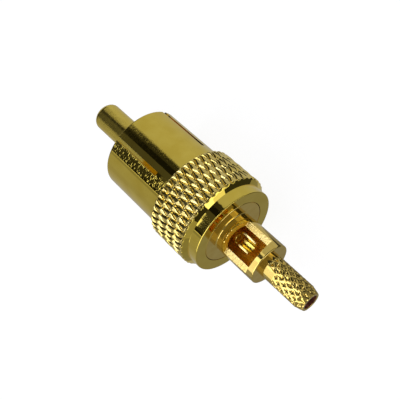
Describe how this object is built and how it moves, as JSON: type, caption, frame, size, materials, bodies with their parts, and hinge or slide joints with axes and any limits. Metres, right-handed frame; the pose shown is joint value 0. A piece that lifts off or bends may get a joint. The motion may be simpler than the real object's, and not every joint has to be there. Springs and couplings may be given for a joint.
{
  "type": "coaxial phono plug",
  "caption": "Coaxial phono plug with a centre pin, slotted spring sleeve, knurled grip, open solder window and a knurled spigot for crimping on a cable.",
  "frame": {"origin": "centre of the sleeve's front rim, on the axis of the centre pin", "axes": "+X along the axis from the pin towards the crimp spigot, +Z out of the solder window"},
  "size_m": [0.0325, 0.0108, 0.0108],
  "materials": {
    "shell_gold": "bright gold plating on turned brass",
    "body_gold": "bright gold plating on turned brass",
    "contact_gold": "bright gold plating on turned brass",
    "insulator_white": "white fluoropolymer"
  },
  "bodies": {
    "root": {"shell": "shell_gold", "rear_body": "body_gold", "center_contact": "contact_gold", "insulator": "insulator_white"}
  },
  "joints": []
}
